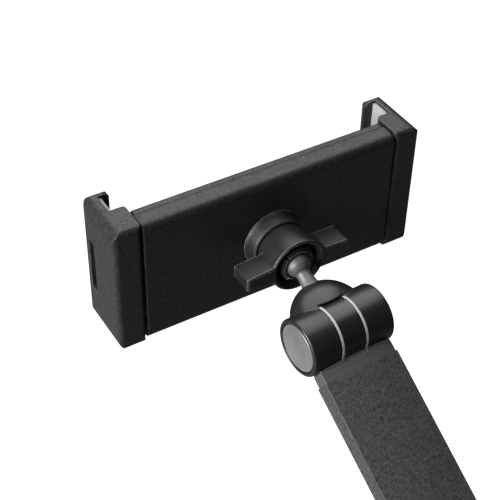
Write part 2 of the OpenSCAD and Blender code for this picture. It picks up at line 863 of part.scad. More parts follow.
// The right jaw; the left one is the same piece turned end for end
module jaw() {
    wall_in = jaw_outer - jaw_wall;
    slot_y = (jaw_floor + jaw_d - lip_t) / 2 + side_slot_shift;
    difference() {
        intersection() {
            translate([0, 0, -jaw_h / 2]) linear_extrude(jaw_h) jaw_outline();
            translate([jaw_outer - jaw_w, jaw_d + 1, 0]) rotate([90, 0, 0])
                linear_extrude(jaw_d + 2) rounded([2 * jaw_w, jaw_h], jaw_corner);
            translate([(jaw_inner + jaw_outer) / 2, 0, 0]) along_x(jaw_w + 2)
                translate([jaw_d / 2, 0]) rounded([jaw_d, jaw_h], jaw_edge);
        }
        box([wall_in - 1, slot_y - side_slot_w / 2, -side_slot_h / 2],
            [jaw_outer + 1, slot_y + side_slot_w / 2, side_slot_h / 2]);
        lip_corner_cut();
        mirror([0, 0, 1]) lip_corner_cut();
        rotate([0, 180, 0]) slide_pocket();
    }
}

// What rounds the free upper corner of the lip
module lip_corner_cut() {
    translate([jaw_outer - lip_reach, jaw_d + 1, jaw_h / 2]) rotate([90, 0, 0])
        linear_extrude(lip_t + 1 + eps) difference() {
            square(2 * lip_corner, center = true);
            translate([lip_corner, -lip_corner]) circle(lip_corner);
        }
}

// Room inside a jaw for its slide: the tab, and the two bars that leave it
module slide_pocket() {
    translate([0, slide_y + slide_t, 0]) rotate([90, 0, 0]) linear_extrude(slide_t) {
        box2([-tab_to, -guide_high], [-tab_from, rack_back]);
        box2([-tab_to, pitch_r + tooth_height + play], [-jaw_inner + 1, rack_back]);
        box2([-tab_to, -guide_high], [-jaw_inner + 1, -guide_low]);
    }
}

module jaw_pad() {
    wall_in = jaw_outer - jaw_wall;
    box([wall_in - jaw_pad_t, jaw_floor, pad_inset - jaw_h / 2],
        [wall_in, jaw_d - lip_t, jaw_h / 2 - pad_inset]);
}

module jaw_right() {
    color([0.09, 0.09, 0.095]) holder() jaw();
}

module jaw_left() {
    color([0.09, 0.09, 0.095]) holder() rotate([0, 180, 0]) jaw();
}

module jaw_pad_right() {
    color("darkgray") holder() jaw_pad();
}

module jaw_pad_left() {
    color("darkgray") holder() rotate([0, 180, 0]) jaw_pad();
}

// ---------- the pieces, one line each ----------

clamp_body();
clamp_top_pad();
clamp_foot();
clamp_foot_pad();
clamp_screw();
clamp_knob();
base_yoke();
swivel_washer();
swivel_bolt();
arm_plane() translate(base_at) hinge_bolt();  // base_hinge_bolt
arm_plane() translate(base_at) hinge_nut();  // base_hinge_nut
arm_plane() translate(base_at) hinge_rings();  // base_hinge_rings
arm_plane() translate(base_at) end_disc(-1);  // base_end_disc_left
arm_plane() translate(base_at) end_disc(1);  // base_end_disc_right
link(base_at, lower_dir) arm_tube();  // lower_arm
link(base_at, lower_dir) tongue_cap(1);  // lower_arm_base_cap
link(elbow_at, lower_dir + 180) fork_cap(-1);  // lower_arm_fork
link(base_at, lower_dir) arm_screws();  // lower_arm_screws
link(elbow_at, lower_dir + 180) hinge_bolt();  // elbow_bolt
link(elbow_at, lower_dir + 180) hinge_nut();  // elbow_nut
arm_plane() translate(elbow_at) hinge_rings();  // elbow_rings
arm_plane() translate(elbow_at) end_disc(-1);  // elbow_end_disc_left
arm_plane() translate(elbow_at) end_disc(1);  // elbow_end_disc_right
link(elbow_at, upper_rise) arm_tube();  // upper_arm
link(elbow_at, upper_rise) tongue_cap(1);  // upper_arm_elbow_cap
link(head_at, upper_rise + 180) tongue_cap(-1);  // upper_arm_head_cap
link(elbow_at, upper_rise) arm_screws();  // upper_arm_screws
head_yoke();
ball_stud();
link(head_at, head_rise) hinge_bolt();  // head_hinge_bolt
link(head_at, head_rise) hinge_nut();  // head_hinge_nut
arm_plane() translate(head_at) hinge_rings();  // head_hinge_rings
arm_plane() translate(head_at) end_disc(-1);  // head_end_disc_left
arm_plane() translate(head_at) end_disc(1);  // head_end_disc_right
ball_seat_inner();
ball_seat_outer();
socket();
wing_nut();
rear_shell();
front_cover();
front_pad();
cover_screws();
pinion_post();
pinion();
spring_left();
spring_right();
slide_left();
jaw_left();
jaw_pad_left();
slide_right();
jaw_right();
jaw_pad_right();
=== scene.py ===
"""The tablet stand's looks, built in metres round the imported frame."""

import json
import math

import bmesh
import bpy
from mathutils import Matrix, Vector


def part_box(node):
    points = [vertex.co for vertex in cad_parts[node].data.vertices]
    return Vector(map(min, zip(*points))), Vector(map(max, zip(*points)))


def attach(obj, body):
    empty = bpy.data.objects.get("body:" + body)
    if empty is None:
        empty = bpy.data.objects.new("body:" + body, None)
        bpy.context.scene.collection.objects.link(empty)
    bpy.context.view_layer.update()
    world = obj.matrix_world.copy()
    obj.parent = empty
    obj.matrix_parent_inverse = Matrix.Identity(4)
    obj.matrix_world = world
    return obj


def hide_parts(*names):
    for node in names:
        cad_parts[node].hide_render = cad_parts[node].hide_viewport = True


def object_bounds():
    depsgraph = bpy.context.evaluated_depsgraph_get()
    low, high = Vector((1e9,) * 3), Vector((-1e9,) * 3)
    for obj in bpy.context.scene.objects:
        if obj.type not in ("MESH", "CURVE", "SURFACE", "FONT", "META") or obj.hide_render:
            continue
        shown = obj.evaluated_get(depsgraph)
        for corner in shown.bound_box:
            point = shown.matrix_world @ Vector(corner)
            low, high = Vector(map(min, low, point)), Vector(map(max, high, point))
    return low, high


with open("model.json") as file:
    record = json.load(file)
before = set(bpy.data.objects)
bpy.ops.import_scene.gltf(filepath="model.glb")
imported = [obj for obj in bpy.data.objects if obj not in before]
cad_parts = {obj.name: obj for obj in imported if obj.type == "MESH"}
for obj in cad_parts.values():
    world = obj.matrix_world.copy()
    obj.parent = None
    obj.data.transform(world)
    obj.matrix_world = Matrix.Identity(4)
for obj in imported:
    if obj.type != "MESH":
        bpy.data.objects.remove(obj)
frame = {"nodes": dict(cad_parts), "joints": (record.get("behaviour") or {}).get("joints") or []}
cad_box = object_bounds()

MM = 0.001

# ---------- places, all worked out from the frame ----------

joints = {j["name"]: j for j in frame["joints"]}


def joint_place(name):
    """Where a joint's axis or centre is, at rest."""
    return Vector(joints[name]["pos_m"])


BALL = joint_place("ball_roll")
HEAD = joint_place("head_tilt")
ELBOW = joint_place("elbow_fold")
BASE = joint_place("base_tilt")
HINGE_AXIS = Vector(joints["head_tilt"]["axis"]).normalized()

# Middle of the holder's back face, the origin of everything on the holder
HOLDER = Vector((BALL.x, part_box("jaw_left")[0].y, BALL.z))
SIDEWAYS = Vector((1.0, 0.0, 0.0))
UP = Vector((0.0, 0.0, 1.0))
OUT_OF_BACK = Vector((0.0, -1.0, 0.0))

# ---------- shader node groups ----------


def new_group(name, inputs, outputs):
    """An empty shader group with named float or vector inputs and named outputs."""
    group = bpy.data.node_groups.new(name, "ShaderNodeTree")
    for label, kind, value in inputs:
        socket = group.interface.new_socket(label, in_out="INPUT", socket_type=kind)
        if value is not None:
            socket.default_value = value
    for label, kind in outputs:
        group.interface.new_socket(label, in_out="OUTPUT", socket_type=kind)
    return group, group.nodes.new("NodeGroupInput"), group.nodes.new("NodeGroupOutput")


def node(tree, kind, **settings):
    """A new shader node with some of its properties set."""
    made = tree.nodes.new("ShaderNode" + kind)
    for key, value in settings.items():
        setattr(made, key, value)
    return made


def math_node(tree, operation, a, b, clamp=False):
    """A Math node; a and b are sockets or numbers."""
    made = node(tree, "Math", operation=operation, use_clamp=clamp)
    for slot_number, value in enumerate((a, b)):
        if isinstance(value, (int, float)):
            made.inputs[slot_number].default_value = value
        else:
            tree.links.new(value, made.inputs[slot_number])
    return made.outputs[0]


def object_noise(tree, scale, detail=2.0, roughness=0.5):
    """Noise fixed to the object, as a 0 to 1 value. scale is a socket or a number."""
    coords = node(tree, "TexCoord")
    noise = node(tree, "TexNoise")
    tree.links.new(coords.outputs["Object"], noise.inputs["Vector"])
    noise.inputs["Detail"].default_value = detail
    noise.inputs["Roughness"].default_value = roughness
    if isinstance(scale, (int, float)):
        noise.inputs["Scale"].default_value = scale
    else:
        tree.links.new(scale, noise.inputs["Scale"])
    return noise.outputs["Fac"]


def remap(tree, value, low, high, to_low, to_high):
    """A value taken from one range to another, held at its ends."""
    made = node(tree, "MapRange")
    tree.links.new(value, made.inputs["Value"])
    for label, number in zip(("From Min", "From Max", "To Min", "To Max"),
                             (low, high, to_low, to_high)):
        made.inputs[label].default_value = number
    return made.outputs["Result"]


def make_grain_group():
    """Fine grain: Height for a Bump node, Speckle for colour and Patches for roughness."""
    group, inp, out = new_group(
        "fine_grain",
        [("Grain Scale", "NodeSocketFloat", 2600.0), ("Patch Scale", "NodeSocketFloat", 60.0)],
        [("Height", "NodeSocketFloat"), ("Speckle", "NodeSocketFloat"),
         ("Patches", "NodeSocketFloat")])
    fine = object_noise(group, inp.outputs["Grain Scale"], 3.0, 0.65)
    half = math_node(group, "MULTIPLY", inp.outputs["Grain Scale"], 0.37)
    coarse = object_noise(group, half, 2.0, 0.5)
    both = math_node(group, "ADD", math_node(group, "MULTIPLY", fine, 0.65),
                     math_node(group, "MULTIPLY", coarse, 0.35))
    patches = object_noise(group, inp.outputs["Patch Scale"], 4.0, 0.55)
    group.links.new(both, out.inputs["Height"])
    group.links.new(remap(group, both, 0.35, 0.65, 0.0, 1.0), out.inputs["Speckle"])
    group.links.new(remap(group, patches, 0.3, 0.7, 0.0, 1.0), out.inputs["Patches"])
    return group


def make_wear_and_highlight_group():
    """Lighter edges, part scuffing, part painted highlight, broken up by noise; dust in noise
    patches.
    """
    group, inp, out = new_group(
        "edge_wear_and_highlight",
        [("Width", "NodeSocketFloat", 0.0006), ("Break Scale", "NodeSocketFloat", 350.0)],
        [("Wear and Highlight", "NodeSocketFloat"), ("Dust", "NodeSocketFloat"),
         ("Normal", "NodeSocketVector")])
    bevel = node(group, "Bevel", samples=8)
    group.links.new(bevel.outputs["Normal"], out.inputs["Normal"])
    group.links.new(inp.outputs["Width"], bevel.inputs["Radius"])
    geometry = node(group, "NewGeometry")
    dot = node(group, "VectorMath", operation="DOT_PRODUCT")
    group.links.new(bevel.outputs["Normal"], dot.inputs[0])
    group.links.new(geometry.outputs["Normal"], dot.inputs[1])
    edge = remap(group, dot.outputs["Value"], 0.96, 0.86, 0.0, 1.0)
    broken = remap(group, object_noise(group, inp.outputs["Break Scale"], 4.0, 0.7),
                   0.38, 0.6, 0.3, 1.0)
    # The edge mask lightens every edge: partly scuffing, partly a painted highlight line.
    group.links.new(math_node(group, "MULTIPLY", edge, broken, True), out.inputs["Wear and Highlight"])
    dust = remap(group, object_noise(group, 900.0, 2.0, 0.6), 0.64, 0.72, 0.0, 1.0)
    group.links.new(dust, out.inputs["Dust"])
    return group


def make_turning_group():
    """Turned rings round an axis through a point, as left by a lathe or a spun brush."""
    group, inp, out = new_group(
        "turning_marks",
        [("Centre", "NodeSocketVector", None), ("Axis", "NodeSocketVector", None),
         ("Ring Scale", "NodeSocketFloat", 5200.0)],
        [("Height", "NodeSocketFloat"), ("Streak", "NodeSocketFloat"),
         ("Radius", "NodeSocketFloat")])
    coords = node(group, "TexCoord")
    offset = node(group, "VectorMath", operation="SUBTRACT")
    group.links.new(coords.outputs["Object"], offset.inputs[0])
    group.links.new(inp.outputs["Centre"], offset.inputs[1])
    project = node(group, "VectorMath", operation="PROJECT")
    group.links.new(offset.outputs[0], project.inputs[0])
    group.links.new(inp.outputs["Axis"], project.inputs[1])
    across = node(group, "VectorMath", operation="SUBTRACT")
    group.links.new(offset.outputs[0], across.inputs[0])
    group.links.new(project.outputs[0], across.inputs[1])
    radius = node(group, "VectorMath", operation="LENGTH")
    group.links.new(across.outputs[0], radius.inputs[0])
    noise = node(group, "TexNoise", noise_dimensions="1D")
    group.links.new(radius.outputs["Value"], noise.inputs["W"])
    group.links.new(inp.outputs["Ring Scale"], noise.inputs["Scale"])
    noise.inputs["Detail"].default_value = 3.0
    group.links.new(noise.outputs["Fac"], out.inputs["Height"])
    group.links.new(radius.outputs["Value"], out.inputs["Radius"])
    group.links.new(remap(group, noise.outputs["Fac"], 0.35, 0.65, 0.0, 1.0),
                    out.inputs["Streak"])
    return group


GRAIN = make_grain_group()
WEAR_AND_HIGHLIGHT = make_wear_and_highlight_group()
TURNING = make_turning_group()


def use_group(tree, group, **values):
    """One of the groups above in a material's tree, with some of its inputs set."""
    made = tree.nodes.new("ShaderNodeGroup")
    made.node_tree = group
    for key, value in values.items():
        made.inputs[key.replace("_", " ")].default_value = value
    return made


def mix_colour(tree, factor, a, b):
    """Mixes two colours, each a socket or an RGB tuple, by a factor socket or number."""
    made = node(tree, "Mix", data_type="RGBA")
    for socket, value in ((made.inputs[0], factor), (made.inputs[6], a), (made.inputs[7], b)):
        if isinstance(value, (int, float)):
            socket.default_value = value
        elif isinstance(value, tuple):
            socket.default_value = (*value, 1.0)
        else:
            tree.links.new(value, socket)
    return made.outputs[2]


def shade(colour, factor):
    """A darker or lighter version of a colour."""
    return tuple(channel * factor for channel in colour)


def new_material(name):
    """A material with its node tree and its Principled shader."""
    material = bpy.data.materials.new(name)
    material.use_nodes = True
    return material, material.node_tree, material.node_tree.nodes["Principled BSDF"]


def bump(tree, bsdf, height, strength, distance, normal):
    """A Bump node on top of a normal that already rounds the edges."""
    made = node(tree, "Bump")
    tree.links.new(normal, made.inputs["Normal"])
    made.inputs["Strength"].default_value = strength
    made.inputs["Distance"].default_value = distance
    tree.links.new(height, made.inputs["Height"])
    tree.links.new(made.outputs["Normal"], bsdf.inputs["Normal"])


ROUGH_SPREAD = 0.06
DUST_SHARE, DUST_COLOUR = 0.05, (0.3, 0.29, 0.28)
POLISHED_BY_WEAR = 0.12


def grained(name, colour, rough, grain_scale, depth, speckle, wear_and_highlight_colour, wear_and_highlight,
            metallic=0.0, round_r=0.0006, cloud=0.35, sparkle=0.3, scuffed_and_highlit_zone=None):
    """Moulded plastic or coated metal: grain, speckle, patchy sheen, dust, and lighter edges that
    are partly scuffing and partly painted highlight lines.

    sparkle is how much of the shine comes from a speckled coat. The last argument is an axis,
    as a point and a direction, and the radius round it inside which the edges are much lighter:
    painted highlight lines on the rims there, with some scuffing.
    """
    material, tree, bsdf = new_material(name)
    grain = use_group(tree, GRAIN, Grain_Scale=grain_scale)
    wear_highlight_and_dust = use_group(tree, WEAR_AND_HIGHLIGHT, Width=round_r)
    base = mix_colour(tree, grain.outputs["Speckle"], shade(colour, 1.0 - speckle),
                      shade(colour, 1.0 + speckle))
    patchy = mix_colour(tree, math_node(tree, "MULTIPLY", grain.outputs["Patches"], cloud),
                        base, shade(colour, 1.25))
    dusty = mix_colour(tree, math_node(tree, "MULTIPLY", wear_highlight_and_dust.outputs["Dust"], DUST_SHARE),
                       patchy, DUST_COLOUR)
    amount = wear_and_highlight
    # Round the given axis the edges turn much lighter: painted highlight lines on the boss rims,
    # with some scuffing.
    if scuffed_and_highlit_zone:
        centre, axis, radius = scuffed_and_highlit_zone
        marks = use_group(tree, TURNING, Centre=tuple(centre), Axis=tuple(axis))
        amount = remap(tree, marks.outputs["Radius"], radius, radius + MM, 1.0, wear_and_highlight)
    # Edges mixed towards the edge colour: partly scuffing, partly painted highlight lines.
    worn_and_highlit = mix_colour(tree, math_node(tree, "MULTIPLY", wear_highlight_and_dust.outputs["Wear and Highlight"], amount),
                      dusty, wear_and_highlight_colour)
    tree.links.new(worn_and_highlit, bsdf.inputs["Base Color"])
    spread = remap(tree, grain.outputs["Patches"], 0.0, 1.0, rough - ROUGH_SPREAD,
                   rough + ROUGH_SPREAD)
    polish = math_node(tree, "MULTIPLY", wear_highlight_and_dust.outputs["Wear and Highlight"], POLISHED_BY_WEAR)
    smoother = math_node(tree, "SUBTRACT", spread, polish)
    tree.links.new(smoother, bsdf.inputs["Roughness"])
    bsdf.inputs["Metallic"].default_value = metallic
    bsdf.inputs["Specular IOR Level"].default_value = 0.5 - 0.25 * sparkle
    bsdf.inputs["Coat Roughness"].default_value = rough
    tree.links.new(math_node(tree, "MULTIPLY", grain.outputs["Speckle"], 0.5 * sparkle),
                   bsdf.inputs["Coat Weight"])
    bump(tree, bsdf, grain.outputs["Height"], 0.6, depth, wear_highlight_and_dust.outputs["Normal"])
    return material


def turned_metal(name, colour, rough, centre, axis, ring_scale, metallic, depth=4e-6,
                 cloud=0.3):
    """Lathe-turned or spun-brushed metal about one axis."""
    material, tree, bsdf = new_material(name)
    marks = use_group(tree, TURNING, Centre=tuple(centre), Axis=tuple(axis),
                      Ring_Scale=ring_scale)
    grain = use_group(tree, GRAIN, Grain_Scale=1800.0, Patch_Scale=110.0)
    wear_highlight_and_dust = use_group(tree, WEAR_AND_HIGHLIGHT, Width=0.0004)
    base = mix_colour(tree, marks.outputs["Streak"], shade(colour, 0.8), shade(colour, 1.15))
    cloudy = mix_colour(tree, math_node(tree, "MULTIPLY", grain.outputs["Patches"], cloud),
                        base, shade(colour, 0.6))
    # Edges lightened: partly scuffing, partly painted highlight lines on the rims.
    worn_and_highlit = mix_colour(tree, math_node(tree, "MULTIPLY", wear_highlight_and_dust.outputs["Wear and Highlight"], 0.4),
                      cloudy, shade(colour, 1.5))
    tree.links.new(worn_and_highlit, bsdf.inputs["Base Color"])
    tree.links.new(remap(tree, grain.outputs["Patches"], 0.0, 1.0, rough - 0.06, rough + 0.08),
                   bsdf.inputs["Roughness"])
    bsdf.inputs["Metallic"].default_value = metallic
    bump(tree, bsdf, marks.outputs["Height"], 0.5, depth, wear_highlight_and_dust.outputs["Normal"])
    return material


# ---------- the finishes ----------

# The shell's boss, within 14.5 mm of the holder's middle, gets much lighter edges: painted
# highlight lines on its rims, with some scuffing.
SHELL = grained("shell_plastic", (0.011, 0.011, 0.0112), 0.44, 1900.0, 1.4e-4, 0.7,
                (0.4, 0.4, 0.404), wear_and_highlight=0.05, cloud=0.15, sparkle=0.95, round_r=0.0009,
                scuffed_and_highlit_zone=(HOLDER, OUT_OF_BACK, 14.5 * MM))
JAW = grained("jaw_plastic", (0.016, 0.016, 0.0163), 0.44, 1900.0, 1.4e-4, 0.7,
              (0.2, 0.2, 0.203), wear_and_highlight=0.55, cloud=0.15, sparkle=0.95)
# The knob's light edges are partly scuffing and partly painted highlight lines on its rims.
KNOB = grained("knob_plastic", (0.009, 0.009, 0.009), 0.36, 1700.0, 1.5e-5, 0.14,
               (0.42, 0.42, 0.42), wear_and_highlight=0.95, round_r=0.0008)
YOKE = grained("yoke_coat", (0.009, 0.009, 0.0092), 0.35, 2600.0, 6.0e-6, 0.12,
               (0.12, 0.12, 0.12), wear_and_highlight=0.45)
ARM = grained("arm_coat", (0.044, 0.044, 0.0452), 0.46, 2100.0, 1.2e-4, 0.75,
              (0.16, 0.16, 0.163), wear_and_highlight=0.12, cloud=0.1, sparkle=0.95)
PAD = grained("grey_rubber", (0.3, 0.3, 0.31), 0.7, 1300.0, 3.0e-5, 0.1,
              (0.4, 0.4, 0.41), wear_and_highlight=0.3)
BLACK_PAD = grained("black_rubber", (0.02, 0.02, 0.02), 0.8, 900.0, 6.0e-5, 0.25,
                    (0.06, 0.06, 0.06), wear_and_highlight=0.3)
NYLON = grained("ring_nylon", (0.36, 0.36, 0.367), 0.42, 1700.0, 1.0e-5, 0.08,
                (0.5, 0.5, 0.5), wear_and_highlight=0.3, round_r=0.0002)
SEAT = grained("seat_nylon", (0.01, 0.01, 0.01), 0.45, 1700.0, 1.0e-5, 0.1,
               (0.05, 0.05, 0.05), wear_and_highlight=0.4, round_r=0.0002)
ZINC = grained("zinc_steel", (0.42, 0.42, 0.44), 0.32, 1500.0, 5.0e-6, 0.08,
               (0.65, 0.65, 0.67), wear_and_highlight=0.5, metallic=1.0, round_r=0.0003)
BLACK_STEEL = grained("black_steel", (0.05, 0.05, 0.052), 0.36, 1800.0, 8.0e-6, 0.12,
                      (0.25, 0.25, 0.26), wear_and_highlight=0.7, metallic=0.8, round_r=0.0003)
STUD = turned_metal("dark_steel", (0.13, 0.13, 0.133), 0.52, BALL, BALL - HEAD, 3000.0, 0.6)


def disc_material(name, centre):
    """Spun aluminium for the discs in the ends of one hinge."""
    return turned_metal(name, (0.25, 0.25, 0.257), 0.36, centre, HINGE_AXIS, 1500.0, 0.5,
                        depth=2.6e-5, cloud=0.9)


KNUCKLE_R, PLATE_FROM = 12.25 * MM, 12.4 * MM


def cap_material(name, centre):
    """An arm end: glossier round the hinge, where the knuckle is painted near-black as painted
    shade; duller and greyer where it meets the arm.
    """
    material, tree, bsdf = new_material(name)
    grain = use_group(tree, GRAIN, Grain_Scale=1700.0)
    wear_highlight_and_dust = use_group(tree, WEAR_AND_HIGHLIGHT, Width=0.0006)
    marks = use_group(tree, TURNING, Centre=tuple(centre), Axis=tuple(HINGE_AXIS))
    barrel = remap(tree, marks.outputs["Radius"], KNUCKLE_R, PLATE_FROM, 1.0, 0.0)
    plate = mix_colour(tree, grain.outputs["Speckle"], (0.045, 0.045, 0.046),
                       (0.068, 0.068, 0.069))
    # Painted shade: the knuckle round the hinge is coloured near-black, darker than the plate.
    knuckle_painted_shade = mix_colour(tree, grain.outputs["Speckle"], (0.008, 0.008, 0.0082),
                               (0.01, 0.01, 0.0102))
    both = mix_colour(tree, barrel, plate, knuckle_painted_shade)
    # Edges lightened: partly scuffing, partly painted highlight lines.
    worn_and_highlit = mix_colour(tree, math_node(tree, "MULTIPLY", wear_highlight_and_dust.outputs["Wear and Highlight"], 0.25), both,
                      (0.16, 0.16, 0.16))
    tree.links.new(worn_and_highlit, bsdf.inputs["Base Color"])
    patchy = math_node(tree, "MULTIPLY", grain.outputs["Patches"], 0.08)
    tree.links.new(math_node(tree, "ADD", patchy, remap(tree, barrel, 0.0, 1.0, 0.48, 0.24)),
                   bsdf.inputs["Roughness"])
    bump(tree, bsdf, grain.outputs["Height"], 0.5, 1.2e-5, wear_highlight_and_dust.outputs["Normal"])
    return material


# ---------- materials on the CAD nodes that stay ----------

CAP_FINISH = {
    "head": cap_material("head_cap_coat", HEAD),
    "elbow": cap_material("elbow_cap_coat", ELBOW),
    "base": cap_material("base_cap_coat", BASE),
}
FINISHES = {
    SHELL: ["rear_shell", "front_cover"],
    JAW: ["jaw_left", "jaw_right"],
    KNOB: ["socket"],
    YOKE: ["clamp_body"],
    CAP_FINISH["head"]: ["upper_arm_head_cap"],
    CAP_FINISH["elbow"]: ["upper_arm_elbow_cap", "lower_arm_fork"],
    CAP_FINISH["base"]: ["lower_arm_base_cap"],
    ARM: ["upper_arm", "lower_arm"],
    PAD: ["jaw_pad_left", "jaw_pad_right"],
    BLACK_PAD: ["front_pad", "clamp_top_pad", "clamp_foot_pad"],
    NYLON: ["base_hinge_rings", "elbow_rings", "head_hinge_rings", "swivel_washer", "pinion"],
    SEAT: ["ball_seat_inner", "ball_seat_outer"],
    ZINC: ["slide_left", "slide_right", "spring_left", "spring_right", "clamp_foot"],
    BLACK_STEEL: ["base_hinge_bolt", "base_hinge_nut", "elbow_bolt", "elbow_nut",
                  "head_hinge_bolt", "head_hinge_nut", "lower_arm_screws", "upper_arm_screws",
                  "cover_screws", "pinion_post", "swivel_bolt"],
}

for material, names in FINISHES.items():
    for name in names:
        slots = frame["nodes"][name].data.materials
        slots.clear()
        slots.append(material)

# ---------- mesh helpers; lengths in millimetres until a piece is placed ----------


def finish_mesh(name, bm, place, material, body, smooth_angle):
    """Turns a bmesh in millimetres into a placed, smooth-shaded piece that rides on a body."""
    bmesh.ops.remove_doubles(bm, verts=bm.verts, dist=1e-4)
    bmesh.ops.recalc_face_normals(bm, faces=bm.faces)
    bm.transform(place @ Matrix.Scale(MM, 4))
    mesh = bpy.data.meshes.new(name)
    bm.to_mesh(mesh)
    bm.free()
    for face in mesh.polygons:
        face.use_smooth = True
    mesh.set_sharp_from_angle(angle=math.radians(smooth_angle))
    piece = bpy.data.objects.new(name, mesh)
    bpy.context.scene.collection.objects.link(piece)
    mesh.materials.append(material)
    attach(piece, body)
    return piece


def stand_in(piece, node_name):
    """The piece shows in place of a CAD node, which is hidden."""
    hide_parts(node_name)


def turn_profile(bm, profile, count=96):
    """Revolves (radius, height) points round Z; radius 0 closes an end."""
    rings = []
    for radius, height in profile:
        if radius < 1e-6:
            rings.append([bm.verts.new((0.0, 0.0, height))])
            continue
        rings.append([bm.verts.new((radius * math.cos(2 * math.pi * i / count),
                                    radius * math.sin(2 * math.pi * i / count), height))
                      for i in range(count)])
    for low, high in zip(rings, rings[1:]):
        if len(low) == 1 and len(high) == 1:
            continue
        for i in range(count):
            k = (i + 1) % count
            if len(low) == 1:
                bm.faces.new((low[0], high[k], high[i]))
            elif len(high) == 1:
                bm.faces.new((low[i], low[k], high[0]))
            else:
                bm.faces.new((low[i], low[k], high[k], high[i]))


def bridge(bm, rows):
    """Joins rows of points, each a closed loop of the same length, with quads."""
    rings = [[bm.verts.new(point) for point in row] for row in rows]
    for low, high in zip(rings, rings[1:]):
        for i in range(len(low)):
            k = (i + 1) % len(low)
            bm.faces.new((low[i], low[k], high[k], high[i]))
    return rings


def closed_rows(bm, rows):
    """Bridges the rows and closes the first and the last with a face each."""
    rings = bridge(bm, rows)
    bm.faces.new(rings[0][::-1])
    bm.faces.new(rings[-1])


def join(bm, other):
    """Adds another bmesh's faces to bm."""
    mesh = bpy.data.meshes.new("joined")
    other.to_mesh(mesh)
    other.free()
    bm.from_mesh(mesh)
    bpy.data.meshes.remove(mesh)


def cut(bm, tool):
    """Returns bm with tool taken away."""
    objects = []
    for part in (bm, tool):
        mesh = bpy.data.meshes.new("part")
        part.to_mesh(mesh)
        part.free()
        objects.append(bpy.data.objects.new("part", mesh))
        bpy.context.scene.collection.objects.link(objects[-1])
    modifier = objects[0].modifiers.new("cut", "BOOLEAN")
    modifier.operation, modifier.solver, modifier.object = "DIFFERENCE", "EXACT", objects[1]
    ready = objects[0].evaluated_get(bpy.context.evaluated_depsgraph_get())
    result = bmesh.new()
    result.from_mesh(ready.to_mesh())
    for obj in objects:
        mesh = obj.data
        bpy.data.objects.remove(obj)
        bpy.data.meshes.remove(mesh)
    return result


def arc(centre_r, centre_h, radius, start, stop, steps=6):
    """Points of a profile's rounded corner, angles in degrees from the radius direction."""
    turns = [start + (stop - start) * i / steps for i in range(steps + 1)]
    return [(centre_r + radius * math.cos(math.radians(t)),
             centre_h + radius * math.sin(math.radians(t))) for t in turns]


def frame_at(origin, z_axis, x_axis):
    """A placement whose Z and X run along the given directions."""
    z = z_axis.normalized()
    x = (x_axis - z * x_axis.dot(z)).normalized()
    turn = Matrix((x, z.cross(x), z)).transposed().to_4x4()
    return Matrix.Translation(origin) @ turn


# Z along the link from the hinge, X along the hinge
HEAD_LINK = frame_at(HEAD, BALL - HEAD, HINGE_AXIS)
BASE_LINK = frame_at(BASE, -UP, HINGE_AXIS)
# Z out of the holder's back, X along the holder
BACK = frame_at(HOLDER, OUT_OF_BACK, SIDEWAYS)

# ---------- the hinge hoods ----------

BARREL_R, BARREL_L, INNER_X = 12.2, 38.5, 6.25
DOME_CENTRE, DOME_TOP = 4.5, 21.5
DOME_HALF_W, DOME_HALF_T = 16.8, 9.6
SLOT_R = BARREL_R + 0.9
BORE_R, DISC_SEAT = 3.2, 1.4
BOSS_R, BOSS_L = 13.0, 7.0


def knuckle(bm):
    """One outer knuckle along Z, with a rounded rim and the seat of its end disc."""
    end = BARREL_L / 2
    profile = ([(BORE_R, INNER_X), (BARREL_R - 0.3, INNER_X), (BARREL_R, INNER_X + 0.3)]
               + [(BARREL_R, INNER_X + 0.3 + (end - 1.2 - INNER_X) * i / 4) for i in range(1, 4)]
               + arc(BARREL_R - 0.9, end - 0.9, 0.9, 0, 90, 8)
               + arc(BARREL_R - 1.45, end - 0.25, 0.25, 90, 180, 4)
               + [(BARREL_R - 1.7, end - DISC_SEAT), (BORE_R, end - DISC_SEAT)])
    turn_profile(bm, profile + [profile[0]], 128)


def hood(name, place, body, node_name, extra=None):
    """The domed yoke: a smooth ellipsoid over the barrel, slotted for the middle knuckle."""
    dome = bmesh.new()
    bmesh.ops.create_uvsphere(dome, u_segments=96, v_segments=64, radius=1.0)
    dome.transform(Matrix.Translation((0, 0, DOME_CENTRE))
                   @ Matrix.Diagonal((DOME_HALF_W, DOME_HALF_T, DOME_TOP - DOME_CENTRE, 1.0)))
    slot = bmesh.new()
    bmesh.ops.create_cone(slot, cap_ends=True, segments=128, radius1=SLOT_R, radius2=SLOT_R,
                          depth=2 * INNER_X)
    slot.transform(Matrix.Rotation(math.radians(90), 4, "Y"))
    bm = cut(dome, slot)
    for side in (1, -1):
        ends = bmesh.new()
        knuckle(ends)
        ends.transform(Matrix.Rotation(math.radians(90 * side), 4, "Y"))
        join(bm, ends)
    if extra:
        join(bm, extra)
    stand_in(finish_mesh(name, bm, place, YOKE, body, 40.0), node_name)


def make_end_discs(prefix, centre, body):
    """The two bright discs in a hinge's ends: a rounded edge round a shallow dish."""
    material = disc_material(prefix + "_disc_alu", centre)
    end, rim, dish_r, dish_deep = BARREL_L / 2, 10.05, 9.2, 1.1
    dish = [(radius, end - 0.08 - dish_deep * (1 - (radius / dish_r) ** 2))
            for radius in (dish_r * (1 - i / 12) for i in range(13))]
    for side, label in ((-1, "left"), (1, "right")):
        bm = bmesh.new()
        turn_profile(bm, [(0.0, end - 1.38), (rim, end - 1.38), (rim, end - 0.5)]
                     + arc(rim - 0.4, end - 0.45, 0.4, 0, 90, 6) + dish, 128)
        bm.transform(Matrix.Rotation(math.radians(90 * side), 4, "Y"))
        place = frame_at(centre, UP, HINGE_AXIS)
        piece = finish_mesh(f"{prefix}_disc_{label}", bm, place, material, body, 45.0)
        stand_in(piece, f"{prefix}_end_disc_{label}")


